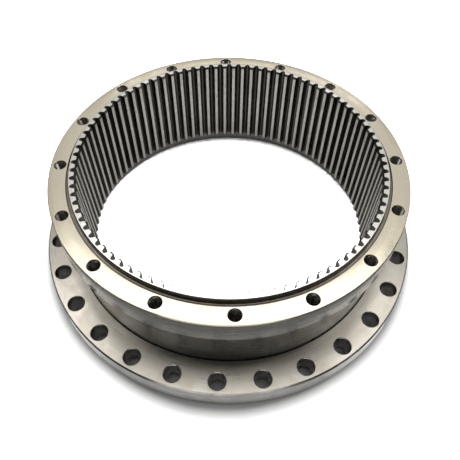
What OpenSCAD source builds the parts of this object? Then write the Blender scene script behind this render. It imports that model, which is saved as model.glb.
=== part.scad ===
// Slewing ring bearing: a flanged internal gear ring that turns on one row of balls inside a
// flanged mounting ring. Z is the turning axis, and the origin is the middle of the mounting
// ring's underside. Sizes are in millimetres.

/* [Gear] */
// Module of the internal teeth
gear_module = 4; // [3.5:0.25:4.5]
// Number of teeth
tooth_count = 90; // [84:1:96]
// Pressure angle of the teeth, in degrees
pressure_angle = 20; // [18:0.5:22]
// Height of the teeth inside the pitch circle, in modules (stub teeth)
addendum = 0.8; // [0.7:0.05:1]
// Depth of the teeth outside the pitch circle, in modules
dedendum = 1; // [0.9:0.05:1.25]
// Length of the teeth, down from the top of the spigot
tooth_length = 124.5; // [100:0.5:124.5]

/* [Geared ring] */
// Wall between the tooth roots and the outside of the spigot
spigot_wall = 2; // [1.5:0.25:3]
// Height of the toothed spigot above the platform flange
spigot_h = 6.5; // [4:0.5:10]
// Wall between the tooth roots and the outside of the waist
waist_wall = 16; // [15.5:0.5:20]
// How far the platform flange stands out from the waist
flange_step = 10; // [10:0.5:16]
// Thickness of the platform flange
flange_t = 31.5; // [30:0.5:50]
// Height from the mounting ring's top face to the platform flange's top face
reach = 108; // [102:1:130]
// How far the geared ring is turned when the part is at rest, in degrees
rest_turn = 4.73; // [0:0.01:22.5]

/* [Platform bolts] */
// Number of tapped holes in the platform flange
tapped_count = 16; // [8:1:24]
// Diameter of the tapped holes, drilled for an M16 thread
tapped_d = 14; // [8:0.5:14.5]
// Depth of full diameter of the tapped holes
tapped_depth = 24; // [12:0.5:25]

/* [Mounting ring] */
// Thickness of the mounting ring
ring_t = 27; // [26:0.5:32]
// Width of the mounting ring, from its bore to its rim
ring_w = 38.2; // [36:0.1:50]
// Number of through holes in the mounting ring
through_count = 28; // [12:2:32]
// Diameter of the through holes
through_d = 19; // [10:0.5:20]
// Distance of the through holes' centres from the rim
through_margin = 15; // [13:0.5:16]

/* [Race] */
// Diameter of the balls
ball_d = 12; // [10:0.5:12.5]
// Smallest spacing of the balls along the race, centre to centre
ball_spacing = 14.6; // [14:0.1:20]
// Radial gap between the two rings
ring_gap = 0.8; // [0.5:0.1:1.2]
// Clearance between a ball and the four lines where it runs
race_clearance = 0.05; // [0.02:0.01:0.1]

/* [Hidden] */
$fn = 144;
small_fn = 48;
SETS = 12;

// Gear
pitch_r = gear_module * tooth_count / 2;
tip_r = pitch_r - addendum * gear_module;
root_r = pitch_r + dedendum * gear_module;
base_r = pitch_r * cos(pressure_angle);
flank_steps = 3;
tooth_turn = 0.58;
tooth_chamfer = 2.2;

// Heights
ring_top = ring_t;
flange_top = ring_top + reach;
flange_low = flange_top - flange_t;
spigot_top = flange_top + spigot_h;
foot_gap = 1;
tooth_low = spigot_top - tooth_length;

// Radii of the geared ring
spigot_r = root_r + spigot_wall;
waist_r = root_r + waist_wall;
flange_r = waist_r + flange_step;
counterbore_r = root_r + 3;
tapped_circle_r = flange_r - 11.5;
edge = 1;
relief_w = 3.6;
relief_depth = 2;
waist_fillet = 3;
drill_point = 0.6 * tapped_d / 2;

// Radii of the mounting ring
bore_r = waist_r + ring_gap;
rim_r = bore_r + ring_w;
through_circle_r = rim_r - through_margin;
rim_chamfer = 2;

// Ball race: each groove is two arcs of 0.52 ball diameters that meet in a point
race_r = waist_r + ring_gap / 2;
race_z = ring_t / 2;
arc_r = 0.52 * ball_d;
arc_shift = (arc_r - ball_d / 2 - race_clearance) * cos(45);
balls_per_set = floor(2 * PI * race_r / (SETS * ball_spacing));
ball_step = 360 / (SETS * balls_per_set);

// Spacers
spacer_d = 0.86 * ball_d;
spacer_play = 0.1;
spacer_length = 0.68 * ball_d;
spacer_bore_d = 3;
spacer_r = race_r * cos(ball_step / 2);

// Seals
seal_h = 3;
seal_land = 1.5;
seal_depth = 3.2;
seal_play = 0.05;
lip_play = 0.06;

// Filler plug, its pin and the grease ports, all between two through holes
hole_step = 360 / through_count;
plug_d = ball_d + 2;
plug_turn = 90 + hole_step / 2;
plug_sink = 0.4;
plug_thread_d = 6.8;
plug_thread_depth = 14;
pin_d = 5;
pin_length = 20;
pin_sink = 0.5;
pin_circle_r = rim_r - 14;
nipple_turn = hole_step * 3.5;
nipple_shank_d = 5;
nipple_shank_length = 6;
nipple_hex_w = 7;
nipple_hex_h = 4;
nipple_head_d = 6.5;
grease_bore_d = 2;

steel = "#b9b2a6";
race_steel = "#d5d7da";
seal_rubber = "#2a2a2c";
spacer_plastic = "#d8cda6";
nipple_steel = "#c9c3a8";

function set_name(prefix, i) = str(prefix, i < 10 ? "0" : "", i);
function involute(a) = tan(a) - a * PI / 180;

// Half the angle of a tooth at radius r: it is widest at the root of an internal gear
function tooth_half(r) =
  let (space = 90 / tooth_count
       + (involute(pressure_angle) - involute(acos(base_r / r))) * 180 / PI)
  180 / tooth_count - space;

function at(r, a) = [r * cos(a), r * sin(a)];

// The outline of the toothed opening, one tooth after the other
function opening() = [
  for (i = [0:tooth_count - 1], side = [-1, 1], k = [0:flank_steps])
    let (share = side < 0 ? k / flank_steps : 1 - k / flank_steps,
         r = root_r + (tip_r - root_r) * share)
    at(r, i * 360 / tooth_count + side * tooth_half(r))
];

// A ring groove for the balls: side is 1 in the mounting ring and -1 in the geared ring
module race_cut(side) {
  rotate_extrude()
    intersection() {
      translate([race_r - side * arc_shift, race_z - arc_shift]) circle(r = arc_r, $fn = small_fn);
      translate([race_r - side * arc_shift, race_z + arc_shift]) circle(r = arc_r, $fn = small_fn);
    }
}

// Places children at n even steps round the axis, at radius r, starting at the front
module around(n, r) {
  for (i = [0:n - 1])
    rotate([0, 0, -90 + i * 360 / n]) translate([r, 0, 0]) children();
}

// A blind tapped hole with its drill point, opening upwards at z = 0
module tapped_hole() {
  translate([0, 0, -tapped_depth]) cylinder(h = tapped_depth + 1, d = tapped_d, $fn = small_fn);
  translate([0, 0, -tapped_depth - drill_point])
    cylinder(h = drill_point, d1 = 0, d2 = tapped_d, $fn = small_fn);
}

// A through hole with a small chamfer at each end
module through_hole() {
  translate([0, 0, -1]) cylinder(h = ring_t + 2, d = through_d, $fn = small_fn);
  for (top = [0, 1])
    translate([0, 0, top * ring_t]) mirror([0, 0, top])
      cylinder(h = edge, d1 = through_d + 2 * edge, d2 = through_d, $fn = small_fn);
}

// The chamfer on the tips of the teeth at one end: side is 1 at the top and -1 at the foot
module tooth_end_chamfer(side) {
  translate([0, 0, side > 0 ? spigot_top : tooth_low]) mirror([0, 0, side > 0 ? 0 : 1])
    translate([0, 0, -tooth_chamfer - 1])
      cylinder(h = tooth_chamfer + 2, r1 = tip_r - 1, r2 = tip_r + tooth_chamfer + 1);
}

// Half section of the geared ring, solid to the axis
module geared_profile() {
  polygon([
    [0, foot_gap],
    [waist_r - edge, foot_gap],
    [waist_r, foot_gap + edge],
    [waist_r, flange_low],
    [flange_r - edge, flange_low],
    [flange_r, flange_low + edge],
    [flange_r, flange_top - edge],
    [flange_r - edge, flange_top],
    [spigot_r + relief_w, flange_top],
    [spigot_r + relief_w, flange_top - relief_depth],
    [spigot_r, flange_top - relief_depth],
    [spigot_r, spigot_top - edge],
    [spigot_r - edge, spigot_top],
    [0, spigot_top]
  ]);
  difference() {
    translate([waist_r, flange_low - waist_fillet]) square(waist_fillet);
    translate([waist_r + waist_fillet, flange_low - waist_fillet])
      circle(r = waist_fillet, $fn = small_fn);
  }
}

// The turning ring: teeth, spigot, platform flange, waist and inner race
module geared_ring() {
  color(steel)
    difference() {
      rotate_extrude() geared_profile();
      rotate([0, 0, rest_turn - 90 + tooth_turn])
        linear_extrude(height = spigot_top + 1) polygon(opening());
      cylinder(h = tooth_low, r = counterbore_r);
      for (side = [-1, 1]) tooth_end_chamfer(side);
      race_cut(-1);
      rotate([0, 0, rest_turn])
        translate([0, 0, flange_top]) around(tapped_count, tapped_circle_r) tapped_hole();
    }
}

// Half section of the mounting ring
module mounting_profile() {
  polygon([
    [bore_r + edge, 0],
    [rim_r - edge, 0],
    [rim_r, edge],
    [rim_r, ring_t - rim_chamfer],
    [rim_r - rim_chamfer, ring_t],
    [bore_r + edge, ring_t],
    [bore_r, ring_t - edge],
    [bore_r, ring_t - seal_land],
    [bore_r + seal_depth, ring_t - seal_land],
    [bore_r + seal_depth, ring_t - seal_land - seal_h],
    [bore_r, ring_t - seal_land - seal_h],
    [bore_r, seal_land + seal_h],
    [bore_r + seal_depth, seal_land + seal_h],
    [bore_r + seal_depth, seal_land],
    [bore_r, seal_land],
    [bore_r, edge]
  ]);
}

// A round bar along X at race height, from radius r1 to radius r2, at angle turn
module radial_bar(turn, r1, r2, d) {
  rotate([0, 0, turn])
    translate([r1, 0, race_z]) rotate([0, 90, 0]) cylinder(h = r2 - r1, d = d, $fn = small_fn);
}

// The hole that the plug's pin is driven into, from the top face
module pin_bar(length, d) {
  rotate([0, 0, plug_turn])
    translate([pin_circle_r, 0, ring_t - pin_sink - length]) cylinder(h = length, d = d, $fn = small_fn);
}

// The fixed ring: bolt flange and outer race
module mounting_ring() {
  color(steel)
    difference() {
      rotate_extrude() mounting_profile();
      race_cut(1);
      around(through_count, through_circle_r) through_hole();
      radial_bar(plug_turn, bore_r - 1, rim_r + 1, plug_d);
      pin_bar(pin_length, pin_d);
      translate([0, 0, pin_sink]) pin_bar(pin_length, pin_d);
      for (side = [-1, 1]) {
        radial_bar(90 + side * nipple_turn, race_r, rim_r + 1, grease_bore_d);
        radial_bar(90 + side * nipple_turn, rim_r - nipple_shank_length - 1, rim_r + 1, nipple_shank_d);
      }
    }
}

// A seal: its root fills the groove in the mounting ring and its lip meets the waist
module seal() {
  low = ring_t - seal_land - seal_h;
  rotate_extrude()
    polygon([
      [bore_r + 0.2, low + seal_play],
      [bore_r + seal_depth, low + seal_play],
      [bore_r + seal_depth, low + seal_h - seal_play],
      [bore_r + 0.2, low + seal_h - seal_play],
      [bore_r + 0.05, low + 0.7 * seal_h],
      [waist_r + lip_play, low + 0.9 * seal_h],
      [waist_r + lip_play, low + 0.75 * seal_h],
      [bore_r + 0.05, low + 0.3 * seal_h]
    ]);
}

module upper_seal() {
  color(seal_rubber) seal();
}

module lower_seal() {
  color(seal_rubber) translate([0, 0, ring_t]) mirror([0, 0, 1]) seal();
}

// The plug that closes the hole through which the balls are loaded
module filler_plug() {
  color(steel)
    difference() {
      intersection() {
        radial_bar(plug_turn, bore_r - 1, rim_r - plug_sink, plug_d);
        difference() {
          cylinder(h = ring_t, r = rim_r);
          translate([0, 0, -1]) cylinder(h = ring_t + 2, r = bore_r);
        }
      }
      race_cut(1);
      pin_bar(pin_length, pin_d);
      radial_bar(plug_turn, rim_r - plug_sink - plug_thread_depth, rim_r + 1, plug_thread_d);
    }
}

module plug_pin() {
  color(race_steel) pin_bar(pin_length, pin_d);
}

// A grease nipple at angle turn: shank, hexagon, neck and head, bored through
module grease_nipple(turn) {
  head_z = nipple_hex_h + 3;
  color(nipple_steel)
    rotate([0, 0, turn]) translate([rim_r, 0, race_z]) rotate([0, 90, 0])
      difference() {
        union() {
          translate([0, 0, -nipple_shank_length])
            cylinder(h = nipple_shank_length, d = nipple_shank_d, $fn = small_fn);
          cylinder(h = nipple_hex_h, d = nipple_hex_w / cos(30), $fn = 6);
          translate([0, 0, nipple_hex_h]) cylinder(h = 3, d1 = 5.5, d2 = 4.5, $fn = small_fn);
          translate([0, 0, head_z]) cylinder(h = 1.5, d1 = 4.5, d2 = nipple_head_d, $fn = small_fn);
          translate([0, 0, head_z + 1.5]) cylinder(h = 2, d1 = nipple_head_d, d2 = 3.5, $fn = small_fn);
        }
        translate([0, 0, -nipple_shank_length - 1]) cylinder(h = 20, d = grease_bore_d, $fn = small_fn);
      }
}

module grease_nipple_left() {
  grease_nipple(90 + nipple_turn);
}

module grease_nipple_right() {
  grease_nipple(90 - nipple_turn);
}

// One set of neighbouring balls
module ball_set(set) {
  color(race_steel)
    for (k = [0:balls_per_set - 1])
      rotate([0, 0, (set * balls_per_set + k) * ball_step])
        translate([race_r, 0, race_z]) sphere(d = ball_d, $fn = small_fn);
}

// One spacer with a seat for a ball in each end, on the X side of the axis
module spacer() {
  difference() {
    translate([spacer_r, spacer_length / 2, race_z]) rotate([90, 0, 0])
      cylinder(h = spacer_length, d = spacer_d, $fn = small_fn);
    translate([spacer_r, spacer_length, race_z]) rotate([90, 0, 0])
      cylinder(h = 2 * spacer_length, d = spacer_bore_d, $fn = small_fn);
    for (side = [-1, 1])
      rotate([0, 0, side * ball_step / 2])
        translate([race_r, 0, race_z]) sphere(d = ball_d + 2 * spacer_play, $fn = small_fn);
  }
}

// The spacers that follow the balls of one set
module spacer_set(set) {
  color(spacer_plastic)
    for (k = [0:balls_per_set - 1])
      rotate([0, 0, (set * balls_per_set + k + 0.5) * ball_step]) spacer();
}

geared_ring();
mounting_ring();
upper_seal();
lower_seal();
filler_plug();
plug_pin();
grease_nipple_left();
grease_nipple_right();
for (i = [1:SETS])
  ball_set(i - 1);
for (i = [1:SETS])
  spacer_set(i - 1);
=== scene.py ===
"""Looks of a slewing ring bearing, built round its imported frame.

The toothed ring and the bolt ring are turned again here as fine bodies, with rounded edges, cut
teeth and real threads. The parts inside them keep the frame's own shapes and get a finish. All
lengths in the dataclasses are millimetres, and all geometry is in metres.
"""

import logging
import math
from collections.abc import Callable, Iterable, Sequence
from dataclasses import dataclass, field
from enum import Enum

import bpy
from mathutils import Matrix, Vector


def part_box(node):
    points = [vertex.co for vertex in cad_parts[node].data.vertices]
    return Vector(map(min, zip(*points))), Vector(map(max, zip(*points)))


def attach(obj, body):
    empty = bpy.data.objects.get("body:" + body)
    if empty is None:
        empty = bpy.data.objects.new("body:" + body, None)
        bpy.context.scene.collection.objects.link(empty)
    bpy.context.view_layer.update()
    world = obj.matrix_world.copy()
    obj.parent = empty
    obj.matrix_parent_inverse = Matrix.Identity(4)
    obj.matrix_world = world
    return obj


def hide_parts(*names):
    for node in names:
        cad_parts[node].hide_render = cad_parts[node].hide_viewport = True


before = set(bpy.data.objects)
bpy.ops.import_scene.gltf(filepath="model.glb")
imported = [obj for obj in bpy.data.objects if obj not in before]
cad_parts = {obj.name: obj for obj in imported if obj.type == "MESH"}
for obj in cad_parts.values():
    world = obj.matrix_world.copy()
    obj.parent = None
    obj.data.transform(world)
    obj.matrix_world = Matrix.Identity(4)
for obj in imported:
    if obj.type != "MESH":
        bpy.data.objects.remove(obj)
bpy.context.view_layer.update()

MM = 0.001
SHARP_EDGE_DEG = 28
OVERRUN = 1.0  # how far a cutter reaches past the face that it opens
LOG = logging.getLogger("slewing_ring")

Point = tuple[float, float]
Span = tuple[float, float]
Colour = tuple[float, float, float]


# ---------------------------------------------------------------------------------------------
# Node trees


class Graph:
    """A node tree, with short calls to fill it."""

    def __init__(self, tree: bpy.types.NodeTree) -> None:
        """Takes the tree to fill.

        Args:
            tree: a material's, world's or geometry tree.
        """
        self.tree = tree

    def add(self, kind: str, inputs: dict | None = None, **settings: object) -> bpy.types.Node:
        """Adds one node.

        Args:
            kind: the node's Blender type name.
            inputs: socket name or index to a value, or to the socket that feeds it.
            settings: properties of the node.

        Returns:
            The new node.
        """
        node = self.tree.nodes.new(kind)
        for name, value in settings.items():
            setattr(node, name, value)
        for key, value in (inputs or {}).items():
            if isinstance(value, bpy.types.NodeSocket):
                self.tree.links.new(value, node.inputs[key])
            else:
                node.inputs[key].default_value = value
        return node

    def maths(self, operation: str, *values: object) -> bpy.types.NodeSocket:
        """Adds a Math node of the kind that suits the tree, and returns its result."""
        node = self.add("ShaderNodeMath", dict(enumerate(values)), operation=operation)
        return node.outputs[0]

    def vector(self, operation: str, *values: object) -> bpy.types.Node:
        """Adds a Vector Math node and returns it."""
        return self.add("ShaderNodeVectorMath", dict(enumerate(values)), operation=operation)

    def remap(self, value: bpy.types.NodeSocket, low: float, high: float,
              to_low: float = 0.0, to_high: float = 1.0) -> bpy.types.NodeSocket:
        """Maps a value from one span to another, clamped.

        Args:
            value: the socket to map.
            low: the start of the span it comes from.
            high: the end of that span.
            to_low: what low becomes.
            to_high: what high becomes.

        Returns:
            The mapped value's socket.
        """
        node = self.add("ShaderNodeMapRange", {
            "Value": value, "From Min": low, "From Max": high, "To Min": to_low, "To Max": to_high})
        return node.outputs[0]

    def blend(self, factor: object, first: object, second: object,
              kind: str = "MIX") -> bpy.types.NodeSocket:
        """Mixes two colours.

        Args:
            factor: how much of the second.
            first: a colour with alpha, or a socket.
            second: a colour with alpha, or a socket.
            kind: the blending mode.

        Returns:
            The mixed colour's socket.
        """
        node = self.add("ShaderNodeMix", {0: factor, 6: first, 7: second},
                        data_type="RGBA", blend_type=kind)
        return node.outputs[2]


# ---------------------------------------------------------------------------------------------
# Finishes


class Lay(Enum):
    """Which way the tool marks of a finish run."""

    TURNED = "round the axis"
    SHAPED = "along the axis"
    PLAIN = "no direction"


def rgba(colour: Colour) -> tuple[float, float, float, float]:
    """Adds a full alpha to a colour."""
    return (*colour, 1.0)


@dataclass(frozen=True)
class Steel:
    """A machined steel surface: tool marks, mottled tint, oil film and fine pits.

    Colours are linear. Marks are stated per millimetre across the lay.
    """

    name: str
    pale: Colour
    dark: Colour
    stain: Colour
    lay: Lay = Lay.TURNED
    roughness: float = 0.3
    roughness_swing: float = 0.08
    marks_per_mm: float = 1.6
    mark_depth: float = 0.25
    mark_contrast: float = 0.5
    stain_size: float = 22.0
    stain_amount: float = 0.35
    pit_amount: float = 0.2
    anisotropy: float = 0.5

    def _lay_frame(self, g: Graph) -> tuple[bpy.types.NodeSocket, bpy.types.NodeSocket]:
        """Builds the marks' coordinates and the direction that they run in.

        Args:
            g: the material's graph.

        Returns:
            A vector that changes fast only across the lay, and the lay's direction.
        """
        place = g.add("ShaderNodeTexCoord").outputs["Object"]
        part = g.add("ShaderNodeSeparateXYZ", {0: place}).outputs
        flat = g.add("ShaderNodeCombineXYZ", {0: part[0], 1: part[1]}).outputs[0]
        out = g.vector("NORMALIZE", flat).outputs[0]
        if self.lay is Lay.TURNED:
            reach = g.vector("LENGTH", flat).outputs["Value"]
            across = g.maths("MULTIPLY", g.maths("ADD", reach, part[2]),
                             self.marks_per_mm / MM)
            turn = g.add("ShaderNodeSeparateXYZ", {0: out}).outputs
            along = g.add("ShaderNodeCombineXYZ", {
                0: across, 1: g.maths("MULTIPLY", turn[0], 3.0),
                2: g.maths("MULTIPLY", turn[1], 3.0)}).outputs[0]
            way = g.vector("CROSS_PRODUCT", (0.0, 0.0, 1.0), out).outputs[0]
            return along, way
        if self.lay is Lay.SHAPED:
            scale = self.marks_per_mm / MM
            along = g.vector("MULTIPLY", place, (scale, scale, scale * 0.012)).outputs[0]
            return along, g.add("ShaderNodeCombineXYZ", {2: 1.0}).outputs[0]
        scale = self.marks_per_mm / MM
        return g.vector("MULTIPLY", place, (scale, scale, scale)).outputs[0], out

    def make(self) -> bpy.types.Material:
        """Builds the material.

        Returns:
            The finished node material.
        """
        material = bpy.data.materials.new(self.name)
        material.use_nodes = True
        g = Graph(material.node_tree)
        shader = next(n for n in g.tree.nodes if n.type == "BSDF_PRINCIPLED")
        place = g.add("ShaderNodeTexCoord").outputs["Object"]
        along, way = self._lay_frame(g)
        fine = g.add("ShaderNodeTexNoise", {
            "Vector": along, "Scale": 1.0, "Detail": 3.0, "Roughness": 0.65}).outputs[0]
        broad = g.add("ShaderNodeTexNoise", {
            "Vector": along, "Scale": 0.09, "Detail": 2.0, "Roughness": 0.6}).outputs[0]
        blotch = g.add("ShaderNodeTexNoise", {
            "Vector": place, "Scale": 1.0 / (self.stain_size * MM), "Detail": 5.0,
            "Roughness": 0.62, "Distortion": 0.6}).outputs[0]
        pits = g.add("ShaderNodeTexNoise", {
            "Vector": place, "Scale": 900.0, "Detail": 2.0, "Roughness": 0.7}).outputs[0]

        marks = g.maths("ADD", g.maths("MULTIPLY", fine, 0.65), g.maths("MULTIPLY", broad, 0.35))
        spread = 0.11 / self.mark_contrast
        tone = g.remap(marks, 0.5 - spread, 0.5 + spread)
        metal = g.blend(tone, rgba(self.dark), rgba(self.pale))
        stain = g.remap(blotch, 0.42, 0.68, 0.0, self.stain_amount)
        metal = g.blend(stain, metal, rgba(self.stain))
        pit = g.remap(pits, 0.66, 0.74, 0.0, self.pit_amount)
        metal = g.blend(pit, metal, rgba(tuple(0.35 * c for c in self.dark)))

        rough = g.maths("ADD", g.remap(fine, 0.3, 0.7, -self.roughness_swing, self.roughness_swing),
                        g.remap(blotch, 0.35, 0.7, self.roughness - 0.03, self.roughness + 0.07))
        height = g.maths("SUBTRACT", fine, g.maths("MULTIPLY", pit, 1.5))
        bump = g.add("ShaderNodeBump", {
            "Strength": self.mark_depth, "Distance": 0.00008, "Height": height})
        g.tree.links.new(metal, shader.inputs["Base Color"])
        g.tree.links.new(rough, shader.inputs["Roughness"])
        g.tree.links.new(bump.outputs[0], shader.inputs["Normal"])
        shader.inputs["Metallic"].default_value = 1.0
        if self.anisotropy:
            shader.inputs["Anisotropic"].default_value = self.anisotropy
            shader.inputs["Anisotropic Rotation"].default_value = 0.25
            g.tree.links.new(way, shader.inputs["Tangent"])
        return material


@dataclass(frozen=True)
class Moulded:
    """Rubber or nylon: a matt moulded surface with a little grain and dust."""

    name: str
    colour: Colour
    worn: Colour
    roughness: float = 0.6
    grain_mm: float = 0.6

    def make(self) -> bpy.types.Material:
        """Builds the material.

        Returns:
            The finished node material.
        """
        material = bpy.data.materials.new(self.name)
        material.use_nodes = True
        g = Graph(material.node_tree)
        shader = next(n for n in g.tree.nodes if n.type == "BSDF_PRINCIPLED")
        place = g.add("ShaderNodeTexCoord").outputs["Object"]
        grain = g.add("ShaderNodeTexNoise", {
            "Vector": place, "Scale": 1.0 / (self.grain_mm * MM), "Detail": 3.0}).outputs[0]
        dust = g.add("ShaderNodeTexNoise", {
            "Vector": place, "Scale": 60.0, "Detail": 4.0, "Roughness": 0.65}).outputs[0]
        tone = g.blend(g.remap(dust, 0.45, 0.7, 0.0, 0.6), rgba(self.colour), rgba(self.worn))
        rough = g.remap(grain, 0.3, 0.7, self.roughness - 0.06, self.roughness + 0.08)
        bump = g.add("ShaderNodeBump", {"Strength": 0.3, "Distance": 0.00005, "Height": grain})
        g.tree.links.new(tone, shader.inputs["Base Color"])
        g.tree.links.new(rough, shader.inputs["Roughness"])
        g.tree.links.new(bump.outputs[0], shader.inputs["Normal"])
        return material


class Finishes:
    """Every finish of the bearing, made once each."""

    def __init__(self) -> None:
        """Builds all the materials."""
        self.ground_face = Steel(
            "ground_platform_face", (0.80, 0.735, 0.585), (0.68, 0.615, 0.475), (0.66, 0.56, 0.41),
            roughness=0.21, marks_per_mm=2.2, mark_contrast=0.22, mark_depth=0.12,
            roughness_swing=0.04, stain_size=30.0, stain_amount=0.30, pit_amount=0.1,
            anisotropy=0.3).make()
        self.spigot_face = Steel(
            "ground_spigot_face", (0.88, 0.86, 0.80), (0.78, 0.755, 0.69), (0.70, 0.64, 0.54),
            roughness=0.24, marks_per_mm=2.2, mark_contrast=0.2, mark_depth=0.1,
            roughness_swing=0.04, stain_amount=0.2, pit_amount=0.1, anisotropy=0.3).make()
        self.turned_wall = Steel(
            "turned_wall", (0.50, 0.49, 0.465), (0.35, 0.342, 0.325), (0.33, 0.30, 0.26),
            roughness=0.23, marks_per_mm=1.3, mark_contrast=0.35, mark_depth=0.15,
            stain_size=35.0, stain_amount=0.3, anisotropy=0.5).make()
        # painted shade: a darker copy of turned_wall, for the waist under the flange's overhang
        self.waist_painted_shade = Steel(
            "turned_waist_wall", (0.17, 0.17, 0.167), (0.11, 0.11, 0.107), (0.11, 0.105, 0.096),
            roughness=0.24, marks_per_mm=1.3, mark_contrast=0.35, mark_depth=0.15,
            stain_size=35.0, stain_amount=0.3, anisotropy=0.5).make()
        self.bolt_face = Steel(
            "turned_bolt_face", (0.70, 0.66, 0.585), (0.53, 0.495, 0.425), (0.48, 0.40, 0.30),
            roughness=0.33, marks_per_mm=1.8, mark_contrast=0.30, mark_depth=0.12,
            stain_size=26.0, stain_amount=0.45, pit_amount=0.2, anisotropy=0.6).make()
        # dark flank finish for the teeth, also used as painted shade on the chamfers at their upper
        # ends
        self.flank_and_painted_chamfer_shade = Steel(
            "shaped_tooth_flank", (0.20, 0.19, 0.17), (0.075, 0.07, 0.061), (0.06, 0.053, 0.045),
            lay=Lay.SHAPED, roughness=0.30, marks_per_mm=2.2, mark_contrast=0.6, stain_size=18.0,
            stain_amount=0.4, anisotropy=0.4).make()
        self.tooth_tip = Steel(
            "bored_tooth_tip", (0.92, 0.90, 0.85), (0.72, 0.69, 0.63), (0.14, 0.12, 0.10),
            lay=Lay.SHAPED, roughness=0.26, marks_per_mm=0.4, mark_contrast=0.3, stain_size=9.0,
            stain_amount=0.18, pit_amount=0.3, anisotropy=0.3).make()
        # oiled finish for the threads, also used as painted shade on the spigot's wall and its foot
        # groove
        self.oiled_thread = Steel(
            "oiled_thread", (0.30, 0.27, 0.235), (0.13, 0.12, 0.10), (0.08, 0.068, 0.056),
            roughness=0.30, marks_per_mm=2.0, mark_contrast=0.5, stain_size=8.0,
            stain_amount=0.5, anisotropy=0.0).make()
        self.drilled_hole = Steel(
            "drilled_hole", (0.20, 0.19, 0.175), (0.10, 0.095, 0.087), (0.06, 0.051, 0.042),
            lay=Lay.PLAIN, roughness=0.36, marks_per_mm=0.7, mark_contrast=0.5, stain_size=9.0,
            stain_amount=0.5, anisotropy=0.0).make()
        self.polished_ball = Steel(
            "polished_ball", (0.80, 0.80, 0.80), (0.74, 0.74, 0.74), (0.55, 0.50, 0.40),
            lay=Lay.PLAIN, roughness=0.10, roughness_swing=0.02, marks_per_mm=1.0,
            mark_depth=0.02, mark_contrast=0.2, stain_size=6.0, stain_amount=0.25,
            pit_amount=0.0, anisotropy=0.0).make()
        self.plated_nipple = Steel(
            "zinc_plated_nipple", (0.74, 0.68, 0.46), (0.60, 0.54, 0.36), (0.52, 0.42, 0.24),
            lay=Lay.PLAIN, roughness=0.30, marks_per_mm=1.5, mark_contrast=0.3, stain_size=4.0,
            stain_amount=0.4, anisotropy=0.0).make()
        self.seal_rubber = Moulded("seal_rubber", (0.018, 0.018, 0.020), (0.05, 0.048, 0.044),
                                   0.55).make()
        self.spacer_nylon = Moulded("spacer_nylon", (0.66, 0.58, 0.40), (0.52, 0.43, 0.27),
                                    0.5).make()


# ---------------------------------------------------------------------------------------------
# Shapes


def arc(centre: Point, radius: float, start: float, end: float, steps: int) -> list[Point]:
    """Points on an arc.

    Args:
        centre: its middle.
        radius: its radius.
        start: the angle it starts at, in degrees.
        end: the angle it ends at, in degrees.
        steps: how many spans it has.

    Returns:
        The points, both ends among them.
    """
    angles = (math.radians(start + (end - start) * i / steps) for i in range(steps + 1))
    return [(centre[0] + radius * math.cos(a), centre[1] + radius * math.sin(a)) for a in angles]


def circle(radius: float, steps: int) -> list[Point]:
    """Evenly spaced points on a circle about the origin."""
    turns = (math.tau * i / steps for i in range(steps))
    return [(radius * math.cos(a), radius * math.sin(a)) for a in turns]


def eased_chamfer(corner: Point, size: float, before: Point, after: Point) -> list[Point]:
    """A chamfer whose two edges are slightly rounded.

    Args:
        corner: the sharp corner it replaces.
        size: the chamfer's leg.
        before: unit direction from the corner back along the outline.
        after: unit direction from the corner on along the outline.

    Returns:
        The chamfer's points, in the outline's order.
    """
    legs = ((before, 1.3), (before, 0.85), (after, 0.85), (after, 1.3))
    spots = [(corner[0] + way[0] * size * k, corner[1] + way[1] * size * k) for way, k in legs]
    inward = size * 0.05
    mid = [(x + (before[0] + after[0]) * inward, y + (before[1] + after[1]) * inward)
           for x, y in spots[1:3]]
    return [spots[0], *mid, spots[3]]


def loop_mesh(name: str, points: Sequence[Point], shift: float) -> bpy.types.Object:
    """Makes an object that is one closed loop of edges, to be turned round the axis.

    Args:
        name: the object's name.
        points: radius and height, in millimetres.
        shift: the radius of the circle that the loop will follow.

    Returns:
        The object, linked to the scene.
    """
    area = sum(a[0] * b[1] - b[0] * a[1] for a, b in zip(points, [*points[1:], points[0]]))
    ordered = list(points) if area < 0 else list(reversed(points))
    mesh = bpy.data.meshes.new(name)
    count = len(ordered)
    mesh.from_pydata([((r - shift) * MM, -z * MM, 0.0) for r, z in ordered],
                     [(i, (i + 1) % count) for i in range(count)], [])
    return link(name, mesh)


def link(name: str, mesh: bpy.types.Mesh) -> bpy.types.Object:
    """Puts a mesh in the scene as an object at the origin, and returns it."""
    thing = bpy.data.objects.new(name, mesh)
    bpy.context.scene.collection.objects.link(thing)
    return thing


def tube_mesh(name: str, rings: Sequence[Sequence[Vector]]) -> bpy.types.Object:
    """Makes a closed solid from rings of points, with its two ends filled.

    Args:
        name: the object's name.
        rings: rings of the same number of points, each anticlockwise seen from the last ring's end.

    Returns:
        The object, linked to the scene.
    """
    size = len(rings[0])
    faces: list[list[int]] = [list(reversed(range(size)))]
    for i in range(len(rings) - 1):
        for k in range(size):
            n = (k + 1) % size
            faces.append([i * size + k, i * size + n, (i + 1) * size + n, (i + 1) * size + k])
    faces.append([(len(rings) - 1) * size + k for k in range(size)])
    mesh = bpy.data.meshes.new(name)
    mesh.from_pydata([p * MM for ring in rings for p in ring], [], faces)
    return link(name, mesh)


@dataclass(frozen=True)
class Pattern:
    """One cutter and how it repeats round the axis."""

    label: str
    cutter: bpy.types.Object
    count: int
    turn_deg: float


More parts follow.
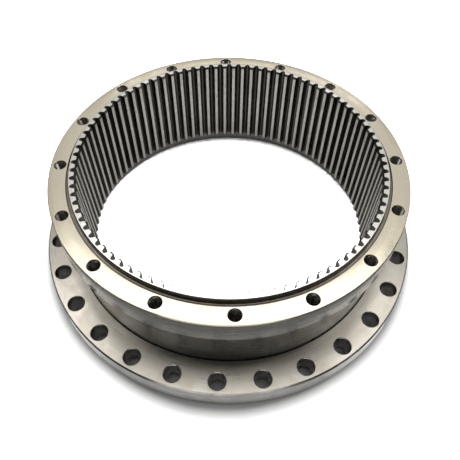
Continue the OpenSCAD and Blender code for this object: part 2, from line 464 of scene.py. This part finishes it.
class TurnedBody:
    """A Geometry Nodes tree that turns a loop into a ring and cuts patterns out of it."""

    def __init__(self, name: str, patterns: Sequence[Pattern], steps: int,
                 circle: float, steel: bpy.types.Material) -> None:
        """Builds the tree.

        Args:
            name: the tree's name.
            patterns: what is cut out.
            steps: how many spans go round the ring.
            circle: the radius of the circle that the loop follows, in millimetres.
            steel: the finish that the body gets first.
        """
        self.patterns = list(patterns)
        self.values: dict[str, object] = {
            "Circle radius": circle * MM, "Steps": steps,
            "Sharp angle": math.radians(SHARP_EDGE_DEG), "Steel": steel}
        self.tree = bpy.data.node_groups.new(name, "GeometryNodeTree")
        self._build()

    def _socket(self, name: str, kind: str, value: object | None = None) -> None:
        """Adds a named input, and keeps the value that the modifier will set."""
        self.tree.interface.new_socket(name, in_out="INPUT", socket_type=kind)
        if value is not None:
            self.values[name] = value

    def _build(self) -> None:
        """Adds the inputs and the nodes."""
        face = self.tree.interface
        face.new_socket("Geometry", in_out="INPUT", socket_type="NodeSocketGeometry")
        face.new_socket("Geometry", in_out="OUTPUT", socket_type="NodeSocketGeometry")
        for name, kind in (("Circle radius", "NodeSocketFloat"), ("Steps", "NodeSocketInt"),
                           ("Sharp angle", "NodeSocketFloat"), ("Steel", "NodeSocketMaterial")):
            self._socket(name, kind)
        for p in self.patterns:
            self._socket(f"{p.label} cutter", "NodeSocketObject", p.cutter)
            self._socket(f"{p.label} count", "NodeSocketInt", p.count)
            self._socket(f"{p.label} turn", "NodeSocketFloat", math.radians(p.turn_deg))
        g = Graph(self.tree)
        given = g.add("NodeGroupInput").outputs
        circle = g.add("GeometryNodeCurvePrimitiveCircle", {
            "Resolution": given["Steps"], "Radius": given["Circle radius"]}).outputs[0]
        section = g.add("GeometryNodeMeshToCurve", {"Mesh": given["Geometry"]}).outputs[0]
        body = g.add("GeometryNodeCurveToMesh", {
            "Curve": circle, "Profile Curve": section}).outputs[0]
        if self.patterns:
            cut = g.add("GeometryNodeMeshBoolean", {"Mesh 1": body}, operation="DIFFERENCE",
                        solver="MANIFOLD")
            for p in self.patterns:
                self.tree.links.new(self._round(g, given, p.label), cut.inputs["Mesh 2"])
            body = cut.outputs[0]
        smooth = g.add("GeometryNodeSetShadeSmooth", {
            "Geometry": body, "Shade Smooth": True}, domain="FACE").outputs[0]
        angle = g.add("GeometryNodeInputMeshEdgeAngle").outputs["Unsigned Angle"]
        sharp = g.add("FunctionNodeCompare", {0: angle, 1: given["Sharp angle"]},
                      data_type="FLOAT", operation="GREATER_THAN").outputs[0]
        crisp = g.add("GeometryNodeSetShadeSmooth", {
            "Geometry": smooth, "Selection": sharp, "Shade Smooth": False},
            domain="EDGE").outputs[0]
        real = g.add("GeometryNodeRealizeInstances", {"Geometry": crisp}).outputs[0]
        dressed = g.add("GeometryNodeSetMaterial", {
            "Geometry": real, "Material": given["Steel"]}).outputs[0]
        g.add("NodeGroupOutput", {0: dressed})

    def _round(self, g: Graph, given: Sequence, label: str) -> bpy.types.NodeSocket:
        """Places one cutter all round the axis.

        Args:
            g: the tree's graph.
            given: the tree's inputs.
            label: the pattern's label.

        Returns:
            The cutters as real geometry.
        """
        cutter = g.add("GeometryNodeObjectInfo", {"Object": given[f"{label} cutter"]},
                       transform_space="ORIGINAL").outputs["Geometry"]
        points = g.add("GeometryNodePoints", {"Count": given[f"{label} count"]}).outputs[0]
        step = g.maths("DIVIDE", math.tau, given[f"{label} count"])
        index = g.add("GeometryNodeInputIndex").outputs[0]
        turn = g.maths("ADD", g.maths("MULTIPLY", index, step), given[f"{label} turn"])
        spin = g.add("ShaderNodeCombineXYZ", {2: turn}).outputs[0]
        placed = g.add("GeometryNodeInstanceOnPoints", {
            "Points": points, "Instance": cutter, "Rotation": spin}).outputs[0]
        return g.add("GeometryNodeRealizeInstances", {"Geometry": placed}).outputs[0]

    def turn(self, loop: bpy.types.Object) -> bpy.types.Object:
        """Runs the tree on a loop.

        Args:
            loop: the closed loop's object, which is used up.

        Returns:
            A plain mesh object at the origin, with the loop's name.
        """
        name = loop.name
        modifier = loop.modifiers.new("turned", "NODES")
        modifier.node_group = self.tree
        for item in self.tree.interface.items_tree:
            if item.in_out == "INPUT" and item.name in self.values:
                modifier[item.identifier] = self.values[item.name]
        loop.update_tag()
        shown = loop.evaluated_get(bpy.context.evaluated_depsgraph_get())
        mesh = bpy.data.meshes.new_from_object(shown)
        for used in (loop, *(p.cutter for p in self.patterns)):
            bpy.data.objects.remove(used)
        mesh.name = name
        return link(name, mesh)


Rule = Callable[[float, float, float], bool]


def dress(piece: bpy.types.Object, finishes: Iterable[tuple[bpy.types.Material, Rule]]) -> None:
    """Gives each face the last finish whose rule it meets.

    Args:
        piece: the piece, whose first material is the one that no rule claims.
        finishes: materials with rules on a face's radius and height, in millimetres, and on how
            far it looks up.
    """
    rules = []
    for material, rule in finishes:
        if material.name not in piece.data.materials:
            piece.data.materials.append(material)
        rules.append((piece.data.materials.find(material.name), rule))
    for face in piece.data.polygons:
        r, z, up = math.hypot(face.center.x, face.center.y) / MM, face.center.z / MM, face.normal.z
        for index, rule in rules:
            if rule(r, z, up):
                face.material_index = index


@dataclass(frozen=True)
class Race:
    """The four-point race that both rings share."""

    radius: float = 200.4
    height: float = 13.5
    ball_d: float = 12.0
    play: float = 0.05
    osculation: float = 0.52
    contact_deg: float = 45.0
    lip: float = 0.4
    spans: int = 5

    def groove(self, side: int) -> list[Point]:
        """The groove of two arcs that the balls run in.

        Args:
            side: 1 for the outer ring and -1 for the inner ring.

        Returns:
            Points from the groove's lower lip to its upper lip, just short of the ball circle.
        """
        radius = self.osculation * self.ball_d
        shift = (radius - self.ball_d / 2 - self.play) * math.cos(math.radians(self.contact_deg))
        lip = math.degrees(math.acos((self.lip + shift) / radius))
        bottom = math.degrees(math.asin(shift / radius))
        low = arc((self.radius - shift, self.height + shift), radius, -lip, -bottom, self.spans)
        high = arc((self.radius - shift, self.height - shift), radius, bottom, lip, self.spans)
        out = [*low, *high[1:]]
        return out if side > 0 else [(2 * self.radius - r, z) for r, z in out]


# ---------------------------------------------------------------------------------------------
# The bearing


@dataclass
class ToothedRing:
    """The turning ring: internal teeth, spigot, platform flange, waist and inner race."""

    finishes: Finishes
    gear_module: float = 4.0
    tooth_count: int = 90
    pressure_deg: float = 20.0
    tip_r: float = 176.8
    root_r: float = 184.0
    root_fillet: float = 2.5
    tip_round: float = 0.35
    tooth_low: float = 17.0
    tip_chamfer: float = 2.2
    tooth_turn_deg: float = 5.31
    spigot_r: float = 186.0
    relief_r: float = 189.6
    relief_depth: float = 2.0
    waist_r: float = 200.0
    waist_fillet: float = 3.0
    flange_step: float = 10.0
    flange_top: float = 135.0
    flange_t: float = 31.5
    counterbore_r: float = 187.0
    race: Race = Race()
    bolt_count: int = 16
    bolt_circle_r: float = 198.5
    bolt_turn_deg: float = 4.73
    thread_r: float = 7.0
    thread_depth: float = 1.0
    thread_pitch: float = 2.0
    threaded: float = 24.0
    steps: int = 540
    top: float = field(init=False)

    def __post_init__(self) -> None:
        """Takes the ring's highest point from the frame."""
        self.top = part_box("geared_ring")[1][2] / MM

    def section(self) -> list[Point]:
        """The ring's half section, before teeth and holes.

        Returns:
            The loop of radius and height.
        """
        low = self.flange_top - self.flange_t
        flange_r = self.waist_r + self.flange_step
        chamfer = self.tip_chamfer
        corners = [
            (self.waist_r, low - self.waist_fillet),
            *arc((self.waist_r + self.waist_fillet, low - self.waist_fillet), self.waist_fillet,
                 180, 90, 5)[1:],
            *eased_chamfer((flange_r, low), 1.0, (-1, 0), (0, 1)),
            *eased_chamfer((flange_r, self.flange_top), 1.0, (0, -1), (-1, 0)),
            *eased_chamfer((self.relief_r, self.flange_top), 0.3, (1, 0), (0, -1)),
            *arc((self.relief_r - 0.6, self.flange_top - self.relief_depth + 0.6), 0.6,
                 0, -90, 3),
            *arc((self.spigot_r + 0.6, self.flange_top - self.relief_depth + 0.6), 0.6,
                 -90, -180, 3),
            *eased_chamfer((self.spigot_r, self.top), 1.0, (0, -1), (-1, 0)),
            (self.tip_r + chamfer, self.top),
            (self.tip_r, self.top - chamfer),
            (self.tip_r, self.tooth_low + chamfer),
            (self.tip_r + chamfer, self.tooth_low),
            (self.counterbore_r, self.tooth_low),
            *eased_chamfer((self.counterbore_r, 1.0), 0.6, (0, 1), (1, 0)),
            *eased_chamfer((self.waist_r, 1.0), 1.0, (-1, 0), (0, 1)),
            *self.race.groove(-1),
        ]
        return corners

    def _half_space(self, radius: float) -> float:
        """Half the width of a tooth space at a radius, in millimetres."""
        base = self.gear_module * self.tooth_count / 2 * math.cos(math.radians(self.pressure_deg))

        def involute(angle: float) -> float:
            """The involute function of an angle in radians."""
            return math.tan(angle) - angle

        turn = (math.pi / 2 / self.tooth_count + involute(math.radians(self.pressure_deg))
                - involute(math.acos(base / radius)))
        return turn * radius

    def tooth_space(self) -> bpy.types.Object:
        """The cutter for one space between two teeth, with a round root and eased tip edges.

        Returns:
            The cutter's object, along +X.
        """
        slope = math.radians(self.pressure_deg)
        rho = self.root_fillet
        centre = self.root_r - rho
        meet = centre + rho * math.sin(slope)
        half: list[Point] = []
        for k in range(6):
            r = self.tip_r + 0.35 + (meet - self.tip_r - 0.35) * k / 5
            half.append((r, self._half_space(r)))
        half[-1] = (meet, rho * math.cos(slope))
        eased = [(self.tip_r - 3.0, half[0][1] + 3.2),
                 (self.tip_r - 0.05, half[0][1] + self.tip_round + 0.05),
                 (self.tip_r + 0.12, half[0][1] + self.tip_round * 0.45)]
        half = [*eased, *half]
        root = arc((centre, 0.0), rho, 90 - self.pressure_deg, 0, 4)[1:]
        side = [*half, *root]
        outline = [*side, *[(x, -y) for x, y in reversed(side[:-1])]]
        outline.reverse()
        flare = ((self.tooth_low - 3.0, 0.0), (self.top - 0.35, 0.0),
                 (self.top + OVERRUN, 1.2))
        rings = []
        for z, grow in flare:
            ring = []
            for x, y in outline:
                reach = grow if x > self.tip_r else 0.0
                out = Vector((x - centre, y)).normalized() * reach
                ring.append(Vector((x + out.x, y + out.y, z)))
            rings.append(ring)
        return tube_mesh("tooth_space_cutter", rings)

    def threaded_hole(self) -> bpy.types.Object:
        """The cutter for one threaded hole: eased mouth, helical thread and drill point.

        Returns:
            The cutter's object, at the bolt circle along +X.
        """
        around, rows = 32, 5
        flat = 0.9
        depths: list[tuple[float, float | None]] = [(-OVERRUN, self.thread_r + 1.45),
                                                    (0.0, self.thread_r + 0.45),
                                                    (0.45, self.thread_r), (flat, self.thread_r)]
        count = int((self.threaded - flat) / self.thread_pitch * rows)
        depths += [(flat + (i + 1) * self.thread_pitch / rows, None) for i in range(count)]
        last = depths[-1][0]
        depths += [(last + 0.6, self.thread_r), (last + 0.6 + 0.6 * self.thread_r, 0.05)]
        rings = []
        for depth, fixed in reversed(depths):
            ring = []
            for k in range(around):
                turn = math.tau * k / around
                r = fixed
                if r is None:
                    phase = (depth / self.thread_pitch + k / around) % 1.0
                    rise = min(1.0, max(0.0, 2.4 * abs(phase - 0.5) - 0.1))
                    fade = min(1.0, (depth - flat) / self.thread_pitch)
                    r = self.thread_r + self.thread_depth * (1 - rise) * fade
                ring.append(Vector((self.bolt_circle_r + r * math.cos(turn), r * math.sin(turn),
                                    self.flange_top - depth)))
            rings.append(ring)
        return tube_mesh("threaded_hole_cutter", rings)

    def build(self) -> bpy.types.Object:
        """Turns the ring, cuts its teeth and threads, dresses it and puts it on its body.

        Returns:
            The finished piece.
        """
        f = self.finishes
        mid = (self.tip_r + self.waist_r) / 2
        loop = loop_mesh("toothed_ring_fine", self.section(), mid)
        patterns = [
            Pattern("Tooth space", self.tooth_space(), self.tooth_count,
                    self.tooth_turn_deg - 90 + 180 / self.tooth_count),
            Pattern("Threaded hole", self.threaded_hole(), self.bolt_count,
                    self.bolt_turn_deg - 90)]
        piece = TurnedBody("toothed_ring_tree", patterns, self.steps, mid,
                           f.turned_wall).turn(loop)
        hole_in = self.bolt_circle_r - self.thread_r - 1.3
        top, low, flange_low = self.flange_top, self.tooth_low, self.flange_top - self.flange_t
        joint_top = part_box("mounting_ring")[1][2] / MM
        dress(piece, [
            (f.ground_face, lambda r, z, up: up > 0.5 and z > top - 3 and r > self.spigot_r),
            (f.spigot_face, lambda r, z, up: up > 0.95 and z > top and r <= self.spigot_r + 0.1),
            # the chamfers at the upper ends of the teeth: painted shade, given with the dark flank
            # finish
            (f.flank_and_painted_chamfer_shade, lambda r, z, up: 0.3 < up < 0.95 and z > top and r < self.root_r + 1.8),
            # the groove at the spigot's foot, and the spigot's own wall: painted shade, given with
            # the dark oiled finish
            (f.oiled_thread, lambda r, z, up: z > top - 3 and (up < 0.5 or z < top - 0.3)
             and self.spigot_r - 0.5 < r < self.relief_r + 0.5),
            # painted shade: the waist under the flange's overhang gets the darker copy of the wall
            # finish
            (f.waist_painted_shade, lambda r, z, up: abs(up) < 0.5 and joint_top < z < flange_low - 0.5
             and r > self.waist_r - 2),
            (f.flank_and_painted_chamfer_shade, lambda r, z, up: r < self.root_r + 1.3 and low < z and up < 0.4),
            (f.tooth_tip, lambda r, z, up: r < self.tip_r + 0.5 and low < z and abs(up) < 0.4),
            (f.oiled_thread, lambda r, z, up: hole_in < r < hole_in + 17 and up < 0.75
             and top - 30 < z < top - 0.3)])
        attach(piece, "turning_ring")
        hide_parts("geared_ring")
        return piece


@dataclass
class BoltRing:
    """The fixed ring: bolt flange, outer race, seal grooves, plug hole and grease ports."""

    finishes: Finishes
    bore_r: float = 200.8
    rim_r: float = 239.0
    rim_chamfer: float = 2.0
    seal_land: float = 1.5
    seal_h: float = 3.0
    seal_depth: float = 3.2
    race: Race = Race()
    hole_count: int = 28
    hole_r: float = 9.5
    hole_circle_r: float = 224.0
    plug_r: float = 7.0
    plug_turn_deg: float = 90 + 180 / 28
    pin_circle_r: float = 225.0
    pin_r: float = 2.5
    pin_length: float = 20.5
    nipple_turn_deg: float = 45.0
    nipple_r: float = 2.5
    nipple_depth: float = 7.0
    way_r: float = 1.0
    steps: int = 540
    top: float = field(init=False)

    def __post_init__(self) -> None:
        """Takes the ring's thickness from the frame."""
        self.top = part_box("mounting_ring")[1][2] / MM

    def section(self) -> list[Point]:
        """The ring's half section, before its holes.

        Returns:
            The loop of radius and height.
        """
        t, bore, rim = self.top, self.bore_r, self.rim_r
        land, root = self.seal_land, bore + self.seal_depth
        return [
            *eased_chamfer((rim, 0.0), 1.0, (-1, 0), (0, 1)),
            *eased_chamfer((rim, t), self.rim_chamfer, (0, -1), (-1, 0)),
            *eased_chamfer((bore, t), 0.4, (1, 0), (0, -1)),
            (bore, t - land), (root, t - land), (root, t - land - self.seal_h),
            (bore, t - land - self.seal_h),
            *reversed(self.race.groove(1)),
            (bore, land + self.seal_h), (root, land + self.seal_h), (root, land), (bore, land),
            *eased_chamfer((bore, 0.0), 0.7, (0, 1), (1, 0)),
        ]

    def through_hole(self) -> bpy.types.Object:
        """The cutter for one bolt hole, eased at both ends, along +X."""
        r, t = self.hole_r, self.top
        stack = [(-OVERRUN, r + 2.0), (0.0, r + 1.0), (0.15, r + 0.8), (0.85, r + 0.12), (1.3, r),
                 (t - 1.3, r), (t - 0.85, r + 0.12), (t - 0.15, r + 0.8), (t, r + 1.0),
                 (t + OVERRUN, r + 2.0)]
        rings = [[Vector((self.hole_circle_r + x, y, z)) for x, y in circle(k, 56)]
                 for z, k in stack]
        return tube_mesh("bolt_hole_cutter", rings)

    def _radial(self, name: str, start: float, end: float, radius: float) -> bpy.types.Object:
        """A round cutter that lies along +X at half the ring's height.

        Args:
            name: the cutter's name.
            start: the radius where it begins.
            end: the radius where it ends.
            radius: its own radius.

        Returns:
            The cutter's object.
        """
        rings = [[Vector((x, y, self.top / 2 + z)) for y, z in circle(radius, 40)]
                 for x in (start, end)]
        return tube_mesh(name, rings)

    def _upright(self, name: str, at: float, low: float, high: float,
                 radius: float) -> bpy.types.Object:
        """A round cutter that stands at a radius along +X.

        Args:
            name: the cutter's name.
            at: the radius where it stands.
            low: its foot's height.
            high: its head's height.
            radius: its own radius.

        Returns:
            The cutter's object.
        """
        rings = [[Vector((at + x, y, z)) for x, y in circle(radius, 32)] for z in (low, high)]
        return tube_mesh(name, rings)

    def build(self) -> bpy.types.Object:
        """Turns the ring, cuts its holes, dresses it and puts it on its body.

        Returns:
            The finished piece.
        """
        f, rim, t = self.finishes, self.rim_r, self.top
        mid = (self.bore_r + rim) / 2
        loop = loop_mesh("bolt_ring_fine", self.section(), mid)
        turns = {"left": 90 + self.nipple_turn_deg, "right": 90 - self.nipple_turn_deg}
        ports = [Pattern(f"Grease port {label}", self._radial(
            f"grease_port_{label}", rim - self.nipple_depth, rim + 2, self.nipple_r), 1, turn)
            for label, turn in turns.items()]
        ways = [Pattern(f"Grease way {label}", self._radial(
            f"grease_way_{label}", self.race.radius + 2, rim - 3, self.way_r), 1, turn)
            for label, turn in turns.items()]
        plug_hole = self._radial("plug_hole", self.bore_r - 4, rim + 2, self.plug_r)
        pin_hole = self._upright("pin_hole", self.pin_circle_r, t - self.pin_length, t + OVERRUN,
                                 self.pin_r)
        patterns = [
            Pattern("Bolt hole", self.through_hole(), self.hole_count, -90.0),
            Pattern("Plug hole", plug_hole, 1, self.plug_turn_deg),
            Pattern("Pin hole", pin_hole, 1, self.plug_turn_deg),
            *ports, *ways]
        piece = TurnedBody("bolt_ring_tree", patterns, self.steps, mid, f.turned_wall).turn(loop)
        inner, outer = self.hole_circle_r - self.hole_r, self.hole_circle_r + self.hole_r
        dress(piece, [
            (f.bolt_face, lambda r, z, up: abs(up) > 0.5 and (z > t - 0.05 or z < 0.05)),
            (f.drilled_hole, lambda r, z, up: inner - 0.2 < r < outer + 0.2
             and 1.2 < z < t - 1.2 and abs(up) < 0.5)])
        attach(piece, "fixed_ring")
        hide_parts("mounting_ring")
        return piece


@dataclass
class InnerParts:
    """The frame's own parts that only need a finish."""

    finishes: Finishes

    def dress(self) -> int:
        """Gives each kept node its finish.

        Returns:
            How many nodes were dressed.
        """
        f = self.finishes
        kinds = (("ball_set", f.polished_ball), ("spacer_set", f.spacer_nylon),
                 ("grease_nipple", f.plated_nipple), ("plug_pin", f.polished_ball),
                 ("filler_plug", f.turned_wall), ("upper_seal", f.seal_rubber),
                 ("lower_seal", f.seal_rubber))
        done = 0
        for name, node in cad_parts.items():
            for start, material in kinds:
                if name.startswith(start):
                    node.data.materials.clear()
                    node.data.materials.append(material)
                    done += 1
        return done


# ---------------------------------------------------------------------------------------------
# The studio


@dataclass(frozen=True)
class Softbox:
    """A rectangular soft light that looks at a point over the part."""

    name: str
    place: tuple[float, float, float]
    size: tuple[float, float]
    brightness: float
    aim: tuple[float, float, float] = (0.0, 0.0, 0.08)

    def make(self) -> bpy.types.Object:
        """Builds the light.

        Returns:
            The light's object.
        """
        data = bpy.data.lights.new(self.name, "AREA")
        data.shape = "RECTANGLE"
        data.size, data.size_y = self.size
        data.energy = self.brightness * math.pi * self.size[0] * self.size[1]
        lamp = bpy.data.objects.new(self.name, data)
        lamp.location = self.place
        way = Vector(self.aim) - Vector(self.place)
        lamp.rotation_euler = way.to_track_quat("-Z", "Y").to_euler()
        bpy.context.scene.collection.objects.link(lamp)
        return lamp


@dataclass
class Studio:
    """Floor, lights, surroundings and camera.

    The floor's levels multiply its tone: "seen" ones hold for the camera and "mirrored" ones for
    everything else. Spans are in metres, from the axis or, for front and side, from the middle
    plane.
    """

    floor_half: float = 6.0
    bore_edge: Span = (0.19, 0.21)
    rim_edge_seen: Span = (0.239, 0.257)
    rim_edge_mirrored: Span = (0.250, 0.262)
    far_edge: Span = (0.29, 0.45)
    # front_half and front_reach make the painted contact shadow reach further at the front
    front_half: Span = (0.03, 0.13)
    front_reach: Span = (-0.0055, 0.001)
    side_start: Span = (0.12, 0.20)
    floor_seen: float = 2.8
    # painted contact shadow at the rim, for the camera
    floor_seen_painted_rim_shadow: float = 0.5
    # painted light inside the bore, which washes out the shade there
    floor_seen_painted_light_inside: float = 6.5
    # the mirrored levels paint shade near the rim and light at its sides and far off, in what the
    # steel mirrors
    floor_mirrored_inside: float = 0.8
    floor_mirrored_at_rim: float = 1.5
    floor_mirrored_at_side: float = 3.0
    floor_mirrored_painted_shade_near: float = 0.3
    floor_mirrored_far: float = 0.75
    surround: float = 0.07
    backdrop: float = 1.0
    camera_distance: float = 2.753
    camera_elevation: float = 53.4834
    camera_roll: float = 0.8065
    camera_shift: Point = (-0.0032, 0.3789)
    camera_turn: float = 2.54
    lens: float = 38.30
    unit: float = 0.210
    centre_height: float = 0.135
    lights: tuple[Softbox, ...] = (
        Softbox("main_softbox", (-0.06, 0.74, 1.80), (1.74, 0.46), 2.9, (-0.06, 0.74, 0.0)),
        Softbox("overhead_softbox", (0.0, 0.22, 1.80), (1.90, 0.60), 1.35, (0.0, 0.22, 0.0)),
        Softbox("zenith_softbox", (0.0, -0.15, 1.80), (1.20, 0.34), 4.4, (0.0, -0.15, 0.0)),
        Softbox("left_wing", (-1.30, 0.2, 1.80), (0.60, 1.3), 2.3, (-1.30, 0.2, 0.0)),
        Softbox("right_wing", (1.28, 0.2, 1.80), (0.60, 1.3), 2.6, (1.28, 0.2, 0.0)),
        Softbox("back_softbox", (0.05, 1.60, 1.72), (3.2, 1.15), 0.62, (0.0, 0.0, 0.13)),
        Softbox("far_softbox", (0.0, 2.62, 1.80), (2.0, 0.60), 0.68, (0.0, 0.1, 0.13)),
        Softbox("front_card", (0.0, -2.3, 0.78), (2.6, 0.60), 1.6),
        Softbox("left_softbox", (-2.0, 0.3, 1.0), (1.4, 0.9), 0.6),
        Softbox("right_softbox", (2.0, 0.3, 1.0), (1.4, 0.9), 0.7),
    )

    def floor(self) -> bpy.types.Object:
        """Lays the pale floor, lighter to the camera than to the steel that mirrors it.

        Its tone also follows the distance from the axis, in metres, with a painted contact shadow
        ring at the rim that reaches further at the front, painted light inside the bore, and
        painted shade and light in the levels that the steel mirrors.

        Returns:
            The floor's object.
        """
        h = self.floor_half
        mesh = bpy.data.meshes.new("floor")
        mesh.from_pydata([(-h, -h, 0), (h, -h, 0), (h, h, 0), (-h, h, 0)], [], [(0, 1, 2, 3)])
        plane = link("floor", mesh)
        material = bpy.data.materials.new("floor_white")
        material.use_nodes = True
        g = Graph(material.node_tree)
        shader = next(n for n in g.tree.nodes if n.type == "BSDF_PRINCIPLED")
        place = g.add("ShaderNodeTexCoord").outputs["Object"]
        haze = g.add("ShaderNodeTexNoise", {"Vector": place, "Scale": 1.5}).outputs[0]
        tone = g.blend(haze, (0.90, 0.90, 0.895, 1.0), (0.93, 0.93, 0.925, 1.0))
        reach = g.vector("LENGTH", place).outputs["Value"]
        near = g.remap(reach, *self.bore_edge)
        far = g.remap(reach, *self.far_edge)
        pick = "ShaderNodeMix"
        # painted contact shadow for the camera: a darker ring at the rim, reaching further at the
        # front
        across = g.maths("ABSOLUTE", g.add("ShaderNodeSeparateXYZ", {0: place}).outputs["X"])
        painted_shadow_spill = g.remap(across, *self.front_half, *self.front_reach)
        floor_with_painted_shadow = g.remap(g.maths("ADD", reach, painted_shadow_spill), *self.rim_edge_seen,
                             self.floor_seen_painted_rim_shadow, self.floor_seen)
        # painted light inside the bore, for the camera
        seen = g.add(pick, {0: near, 2: self.floor_seen_painted_light_inside, 3: floor_with_painted_shadow}).outputs[0]
        # painted shade near the rim and painted light at its sides, in what the steel mirrors
        at_rim = g.remap(across, *self.side_start, self.floor_mirrored_at_rim,
                         self.floor_mirrored_at_side)
        shade = g.remap(reach, *self.rim_edge_mirrored, at_rim, self.floor_mirrored_painted_shade_near)
        under = g.add(pick, {0: near, 2: self.floor_mirrored_inside, 3: shade}).outputs[0]
        mirrored = g.add(pick, {0: far, 2: under, 3: self.floor_mirrored_far}).outputs[0]
        direct = g.add("ShaderNodeLightPath").outputs["Is Camera Ray"]
        level = g.add(pick, {0: direct, 2: mirrored, 3: seen}).outputs[0]
        lit = g.add("ShaderNodeVectorMath", {0: tone, "Scale": level},
                    operation="SCALE").outputs[0]
        g.tree.links.new(lit, shader.inputs["Base Color"])
        shader.inputs["Roughness"].default_value = 1.0
        shader.inputs["Specular IOR Level"].default_value = 0.0
        plane.data.materials.append(material)
        return plane

    def surroundings(self) -> None:
        """Sets a dim even world, white to the camera, and the plain colour transform."""
        world = bpy.data.worlds.new("studio")
        world.use_nodes = True
        back = next(n for n in world.node_tree.nodes if n.type == "BACKGROUND")
        back.inputs["Color"].default_value = (1.0, 1.0, 1.0, 1.0)
        g = Graph(world.node_tree)
        direct = g.add("ShaderNodeLightPath").outputs["Is Camera Ray"]
        strength = g.remap(direct, 0.0, 1.0, self.surround, self.backdrop)
        g.tree.links.new(strength, back.inputs["Strength"])
        bpy.context.scene.world = world
        bpy.context.scene.view_settings.view_transform = "Standard"

    def camera(self) -> bpy.types.Object:
        """Places the camera.

        Returns:
            The camera's object.
        """
        e, roll = math.radians(self.camera_elevation), math.radians(self.camera_roll)
        away = Vector((0.0, -math.cos(e), math.sin(e)))
        right, up = Vector((1.0, 0.0, 0.0)), Vector((0.0, math.sin(e), math.cos(e)))
        side = right * math.cos(roll) + up * math.sin(roll)
        rise = right * -math.sin(roll) + up * math.cos(roll)
        place = (away * self.camera_distance - side * self.camera_shift[0]
                 - rise * self.camera_shift[1]) * self.unit
        place.z += self.centre_height
        data = bpy.data.cameras.new("camera")
        data.lens, data.sensor_width = self.lens, 36.0
        data.clip_start, data.clip_end = 0.01, 50.0
        eye = bpy.data.objects.new("camera", data)
        axes = Matrix((side, rise, away)).transposed().to_4x4()
        axes.translation = place
        eye.matrix_world = Matrix.Rotation(math.radians(self.camera_turn), 4, "Z") @ axes
        bpy.context.scene.collection.objects.link(eye)
        bpy.context.scene.camera = eye
        return eye

    def build(self) -> None:
        """Makes the whole studio."""
        self.camera()
        self.floor()
        self.surroundings()
        for light in self.lights:
            light.make()


def main() -> None:
    """Builds the studio and the bearing, and reports each piece."""
    logging.basicConfig(level=logging.INFO, format="%(name)s: %(message)s")
    Studio().build()
    finishes = Finishes()
    for maker in (ToothedRing(finishes), BoltRing(finishes)):
        piece = maker.build()
        LOG.info("%s: %d faces", piece.name, len(piece.data.polygons))
    LOG.info("%d nodes kept and dressed", InnerParts(finishes).dress())


if __name__ == "__main__":
    main()
